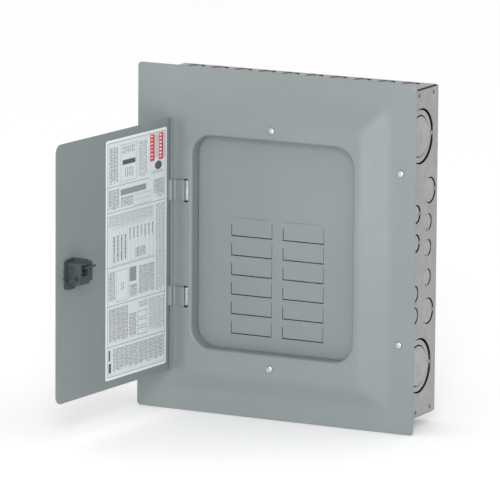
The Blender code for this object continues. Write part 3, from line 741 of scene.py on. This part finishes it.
def print_lines(u0, v0, u1, v1, pitch=0.022, weight=0.42, kind="grey", fill=0.9):
    """Upright runs of short dashes, which read as rows of fine print turned on their side."""
    u = u0 + pitch * 0.4
    while u < u1 - pitch * 0.3:
        v = v0 + 0.004
        end = v1 - 0.004 - rng.random() * (v1 - v0) * (1 - fill)
        while v < end:
            run = rng.uniform(0.004, 0.016)
            stop = min(end, v + run)
            patch(kind, u, v, u + pitch * weight, stop)
            v = stop + rng.uniform(0.0018, 0.004)
        u += pitch


def grid(u0, v0, u1, v1, nu, nv, kind="grey"):
    for k in range(nu + 1):
        u = u0 + (u1 - u0) * k / nu
        patch(kind, u - 0.0015, v0, u + 0.0015, v1, 1)
    for k in range(nv + 1):
        v = v0 + (v1 - v0) * k / nv
        patch(kind, u0, v - 0.0007, u1, v + 0.0007, 1)


patch("tint", 0.03, 0.012, 0.97, 0.988, -1.2)
frame_lines(0.025, 0.012, 0.975, 0.988)
for a, b in ((0.195, 0.70), (0.300, 0.98), (0.530, 0.80), (0.690, 0.98), (0.860, 0.98)):
    patch("grey", 0.025, a, b, a + 0.0018, 1)
# head block: notes, a small table, and two red bars with a round mark under them
print_lines(0.05, 0.03, 0.20, 0.19, 0.024)
frame_lines(0.24, 0.03, 0.50, 0.185, kind="pale")
print_lines(0.26, 0.035, 0.48, 0.075, 0.03, kind="pale")
patch("grey", 0.27, 0.095, 0.48, 0.115)
print_lines(0.30, 0.125, 0.46, 0.175, 0.03, kind="pale")
print_lines(0.53, 0.03, 0.68, 0.19, 0.020, kind="pale")
for u in (0.725, 0.868):
    patch("red", u, 0.018, u + 0.072, 0.130)
    for k in range(7):
        v = 0.024 + k * 0.015
        patch("white", u + 0.012, v, u + 0.043, v + rng.uniform(0.004, 0.009), 1)
print_lines(0.80, 0.02, 0.875, 0.13, 0.016, kind="pale")
print_lines(0.945, 0.02, 0.97, 0.13, 0.014, kind="pale")
disc = [(LX + (RX - LX) * 0.86 + 0.33 * math.cos(2 * math.pi * k / 28), FACE + 0.0278,
         TZ + (BZ - TZ) * 0.152 + 0.22 * math.sin(2 * math.pi * k / 28)) for k in range(28)]
quads["grey"].append(disc)
print_lines(0.74, 0.168, 0.95, 0.19, 0.02, kind="pale")
# middle: rating tables and columns of print
print_lines(0.04, 0.205, 0.22, 0.295, 0.022)
patch("pale", 0.24, 0.215, 0.66, 0.240)
grid(0.46, 0.25, 0.74, 0.295, 6, 2, "pale")
print_lines(0.24, 0.245, 0.44, 0.295, 0.020)
print_lines(0.78, 0.205, 0.96, 0.295, 0.018, fill=0.7)
print_lines(0.04, 0.31, 0.78, 0.37, 0.020, kind="pale")
grid(0.10, 0.37, 0.78, 0.525, 11, 1, "pale")
print_lines(0.10, 0.40, 0.34, 0.52, 0.062, 0.30)
print_lines(0.36, 0.38, 0.78, 0.44, 0.062, 0.30, kind="pale")
print_lines(0.48, 0.47, 0.66, 0.52, 0.024)
print_lines(0.82, 0.31, 0.965, 0.685, 0.024, kind="pale", fill=0.95)
print_lines(0.04, 0.545, 0.15, 0.68, 0.022)
frame_lines(0.17, 0.55, 0.37, 0.68, kind="pale")
print_lines(0.24, 0.60, 0.30, 0.64, 0.03, kind="pale")
patch("pale", 0.39, 0.55, 0.50, 0.61)
print_lines(0.39, 0.62, 0.52, 0.68, 0.018)
print_lines(0.54, 0.55, 0.80, 0.68, 0.020)
# foot: dense notes round a few boxed figures
print_lines(0.05, 0.70, 0.36, 0.85, 0.021)
print_lines(0.38, 0.74, 0.50, 0.85, 0.020)
for k in range(3):
    frame_lines(0.52, 0.745 + k * 0.036, 0.68, 0.772 + k * 0.036)
print_lines(0.54, 0.70, 0.70, 0.735, 0.020, kind="pale")
print_lines(0.71, 0.70, 0.965, 0.85, 0.021, kind="pale")
print_lines(0.12, 0.87, 0.965, 0.975, 0.021, fill=0.86)
patch("grey", 0.05, 0.875, 0.075, 0.92)
patch("grey", 0.05, 0.93, 0.09, 0.97)
for kind, mat in (("tint", TINT), ("grey", INK), ("pale", INK_SOFT), ("red", INK_RED), ("white", FILM)):
    bm = bmesh.new()
    for ring in quads[kind]:
        bm.faces.new([bm.verts.new(p) for p in ring])
    obj = to_mesh("label_print_" + kind, bm, True, 0)
    finish_piece(obj, mat, "door", "label")

# ================================================================ latch
# the latch's outer face and its inner end, then the opening in the door that it fills
OUTER, INNER = FACE - 0.10, FACE + 0.80
LX0, LX1, LZ0, LZ1 = 3.05, 3.95, LATCH_Z - 0.60, LATCH_Z + 0.60
# arcs of the base plate: centre x, height above LATCH_Z, radius, first and last angle in degrees
LOBES = ((3.95, 0.46, 0.22, -15, 95), (3.36, 0.56, 0.15, 80, 180), (3.06, 0.42, 0.13, 100, 190),
         (3.06, -0.48, 0.13, 170, 260), (3.38, -0.70, 0.15, 180, 275), (3.92, -0.58, 0.25, 265, 372),
         (4.06, -0.26, 0.16, -70, 55), (4.06, 0.12, 0.16, -55, 70))


def lobes():
    """Base plate outline: a rounded plate with ears above, below and on its free side."""
    pts = []
    for cx, cz, r, a0, a1 in LOBES:
        for k in range(8):
            t = math.radians(a0 + (a1 - a0) * k / 7)
            pts.append((cx + r * math.cos(t), LATCH_Z + cz + r * math.sin(t)))
    return pts


base = to_mesh("latch_base_plate", prism(lobes(), FACE + 0.013, FACE + 0.075, "Y"), True)
carve(base, [cuboid(LX0 + 0.10, LX1 - 0.10, FACE - 0.1, FACE + 0.2, LZ0 + 0.10, LZ1 - 0.10)], True)
soften(base, 0.018, 2)
finish_piece(base, LATCH, "door", "latch_plastic")
house = to_mesh("latch_body", cuboid(LX0 + 0.02, LX1 - 0.02, FACE + 0.06, INNER,
                                     LZ0 + 0.06, LZ1 - 0.06), True)
carve(house, [cuboid(LX0 + 0.10, LX1 - 0.10, OUTER - 0.1, INNER - 0.08, LZ0 + 0.13, LZ1 - 0.13)], True)
carve(house, [cuboid(LX1 - 0.15, LX1 + 0.05, INNER - 0.275, INNER - 0.175,
                     LATCH_Z - 0.36, LATCH_Z - 0.14)], True)
carve(house, [cuboid(3.17, 3.74, INNER - 0.20, INNER + 0.10, LATCH_Z - 0.12, LATCH_Z + 0.40)], True)
soften(house, 0.028, 2)
finish_piece(house, LATCH, "door", "latch_plastic", "latch_housing")
# ramp on the hinge side, a rising roof, and stiffening ribs
ramp = [(3.06, FACE + 0.02), (3.06, FACE + 0.76), (2.72, FACE + 0.74), (2.62, FACE + 0.60),
        (2.60, FACE + 0.02)]
extra = [prism(ramp, LATCH_Z - 0.44, LATCH_Z + 0.50),
         prism([(3.90, LZ1 - 0.07), (3.10, LZ1 + 0.06), (3.10, LZ1 - 0.07)], FACE + 0.10, INNER - 0.05, "Y"),
         prism([(3.88, LZ0 + 0.07), (3.20, LZ0 + 0.07), (3.30, LZ0 - 0.05), (3.70, LZ0 - 0.05)],
               FACE + 0.07, FACE + 0.42, "Y")]
extra += [cuboid(LX1 - 0.04, LX1 + 0.012, FACE + 0.08, INNER - 0.34, LATCH_Z + z, LATCH_Z + z + 0.035)
          for z in (-0.36, -0.06, 0.24)]
extra = to_mesh("latch_ramp_and_ribs", join(extra), True)
finish_piece(soften(extra, 0.014, 2), LATCH, "door", "latch_plastic")
# the bezel's section: how far each loop stands outside the opening, and its y
section = ((-0.02, FACE - 0.02), (-0.02, OUTER + 0.03), (-0.005, OUTER + 0.006), (0.012, OUTER),
           (0.055, OUTER + 0.004), (0.078, OUTER + 0.018), (0.080, FACE - 0.063), (0.0, FACE - 0.063),
           (0.0, FACE - 0.02))
bezel = to_mesh("latch_bezel", ring_solid([
    [(x, y, z) for x, z in rounded(3.5, LATCH_Z, 0.45 + g, 0.60 + g, 0.10 + max(0, g), 8)]
    for g, y in section]), True, 30)
well = to_mesh("latch_well", cuboid(LX0 + 0.02, LX1 - 0.02, FACE - 0.075, FACE + 0.06,
                                    LZ0 + 0.02, LZ1 - 0.02), True)
carve(well, [cuboid(LX0 + 0.10, LX1 - 0.10, FACE - 0.2, FACE + 0.2, LZ0 + 0.10, LZ1 - 0.10)], True)
finish_piece(bezel, LATCH, "door", "latch_plastic")
finish_piece(well, LATCH, "door", "latch_plastic")
slide = to_mesh("latch_slide_fine", cuboid(3.49, 3.825, OUTER + 0.12, INNER - 0.40,
                                           LZ0 + 0.16, LZ1 - 0.16), True)
# thumb grip, the tongue's neck, the tongue, the finger's stem and the finger
for added in (cuboid(3.51, 3.65, OUTER + 0.02, INNER - 0.5, LATCH_Z - 0.30, LATCH_Z + 0.30),
              cuboid(3.60, 3.80, INNER - 0.45, INNER - 0.20, LATCH_Z - 0.33, LATCH_Z - 0.17),
              cuboid(3.70, 4.42, INNER - 0.25, INNER - 0.20, LATCH_Z - 0.33, LATCH_Z - 0.17),
              cuboid(3.50, 3.58, INNER - 0.45, INNER + 0.09, LATCH_Z + 0.24, LATCH_Z + 0.34),
              cuboid(2.64, 3.58, INNER + 0.03, INNER + 0.09, LATCH_Z + 0.24, LATCH_Z + 0.34)):
    carve(slide, [added], True, op="UNION")
carve(slide, [cuboid(3.4, 3.9, OUTER + 0.07, OUTER + 0.135,
                     LATCH_Z - 0.24 + 0.12 * k, LATCH_Z - 0.20 + 0.12 * k)
              for k in range(5)], True)
soften(slide, 0.012, 2)
finish_piece(slide, LATCH, "latch", "latch_plastic", "latch_slide")

# ================================================================ terminals inside
def terminal_screw(place):
    return turned([(0, -0.07), (0.10, -0.07), (0.115, -0.05), (0.115, 0.01), (0, 0.01)], place, "Y", 16)


screws = [terminal_screw((s * 2.95, -1.56, -4.4 + 0.48 * k)) for s in SIDES for k in range(17)]
screws += [terminal_screw((5.2, -0.76, -5.55 + 0.44 * k)) for k in range(6)]
finish_piece(to_mesh("terminal_screws", join(screws), sharp=40), ZINC, "enclosure", "zinc")

# ================================================================ stage, light, camera
floor_z = -TH * INCH - 0.0005
bm = bmesh.new()
bmesh.ops.create_grid(bm, x_segments=1, y_segments=1, size=40)
bm.transform(Matrix.Translation((0, 0, floor_z)))
mesh = bpy.data.meshes.new("floor")
bm.to_mesh(mesh)
bm.free()
floor = bpy.data.objects.new("floor", mesh)
bpy.context.scene.collection.objects.link(floor)
pale = Net("pale_floor")
pale.set(Base_Color=pale.mix(pale.ramp(pale.noise(3, 2), (0.3, 0.0), (0.7, 1.0)), (0.985,) * 3, (0.995,) * 3),
         Roughness=0.9)
pale.set(Emission_Color=(1, 1, 1, 1), Emission_Strength=0.10)
mesh.materials.append(pale.mat)

world = bpy.data.worlds.new("studio")
bpy.context.scene.world = world
world.use_nodes = True
wt = world.node_tree
bg = wt.nodes["Background"]
bg.inputs["Color"].default_value = (1, 1, 1, 1)
bg.inputs["Strength"].default_value = 0.87
seen = wt.nodes.new("ShaderNodeBackground")
seen.inputs["Color"].default_value = (1, 1, 1, 1)
seen.inputs["Strength"].default_value = 1.0
path = wt.nodes.new("ShaderNodeLightPath")
blend = wt.nodes.new("ShaderNodeMixShader")
wt.links.new(path.outputs["Is Camera Ray"], blend.inputs[0])
wt.links.new(bg.outputs[0], blend.inputs[1])
wt.links.new(seen.outputs[0], blend.inputs[2])
wt.links.new(blend.outputs[0], wt.nodes["World Output"].inputs["Surface"])


def area(name, place, target, size, power):
    light = bpy.data.lights.new(name, "AREA")
    light.shape, light.size, light.energy = "DISK", size, power
    obj = bpy.data.objects.new(name, light)
    obj.location = place
    obj.rotation_euler = (Vector(target) - Vector(place)).to_track_quat("-Z", "Y").to_euler()
    bpy.context.scene.collection.objects.link(obj)


area("key", (2.0, -4.3, 2.1), (0, 0, 0), 1.3, 70)
area("low", (0.3, -2.6, -0.08), (-0.05, 0, -0.10), 0.8, 19)

yaw, pitch, roll = math.radians(27.14), math.radians(-10.45), math.radians(0.41)
right = Vector((math.cos(yaw), math.sin(yaw), 0))
ahead = Vector((-math.sin(yaw), math.cos(yaw), 0)) * math.cos(pitch) + Vector((0, 0, math.sin(pitch)))
up = right.cross(ahead)
right, up = right * math.cos(roll) + up * math.sin(roll), up * math.cos(roll) - right * math.sin(roll)
cam = bpy.data.objects.new("camera", bpy.data.cameras.new("camera"))
bpy.context.scene.collection.objects.link(cam)
aim = Matrix((right, up, -ahead)).transposed().to_4x4()
cam.matrix_world = Matrix.Translation((3.1636, -6.3382, 1.2867)) @ aim
cam.data.sensor_width = 36
cam.data.lens = 403.0
cam.data.clip_end = 200
bpy.context.scene.camera = cam
bpy.context.scene.view_settings.view_transform = "Standard"
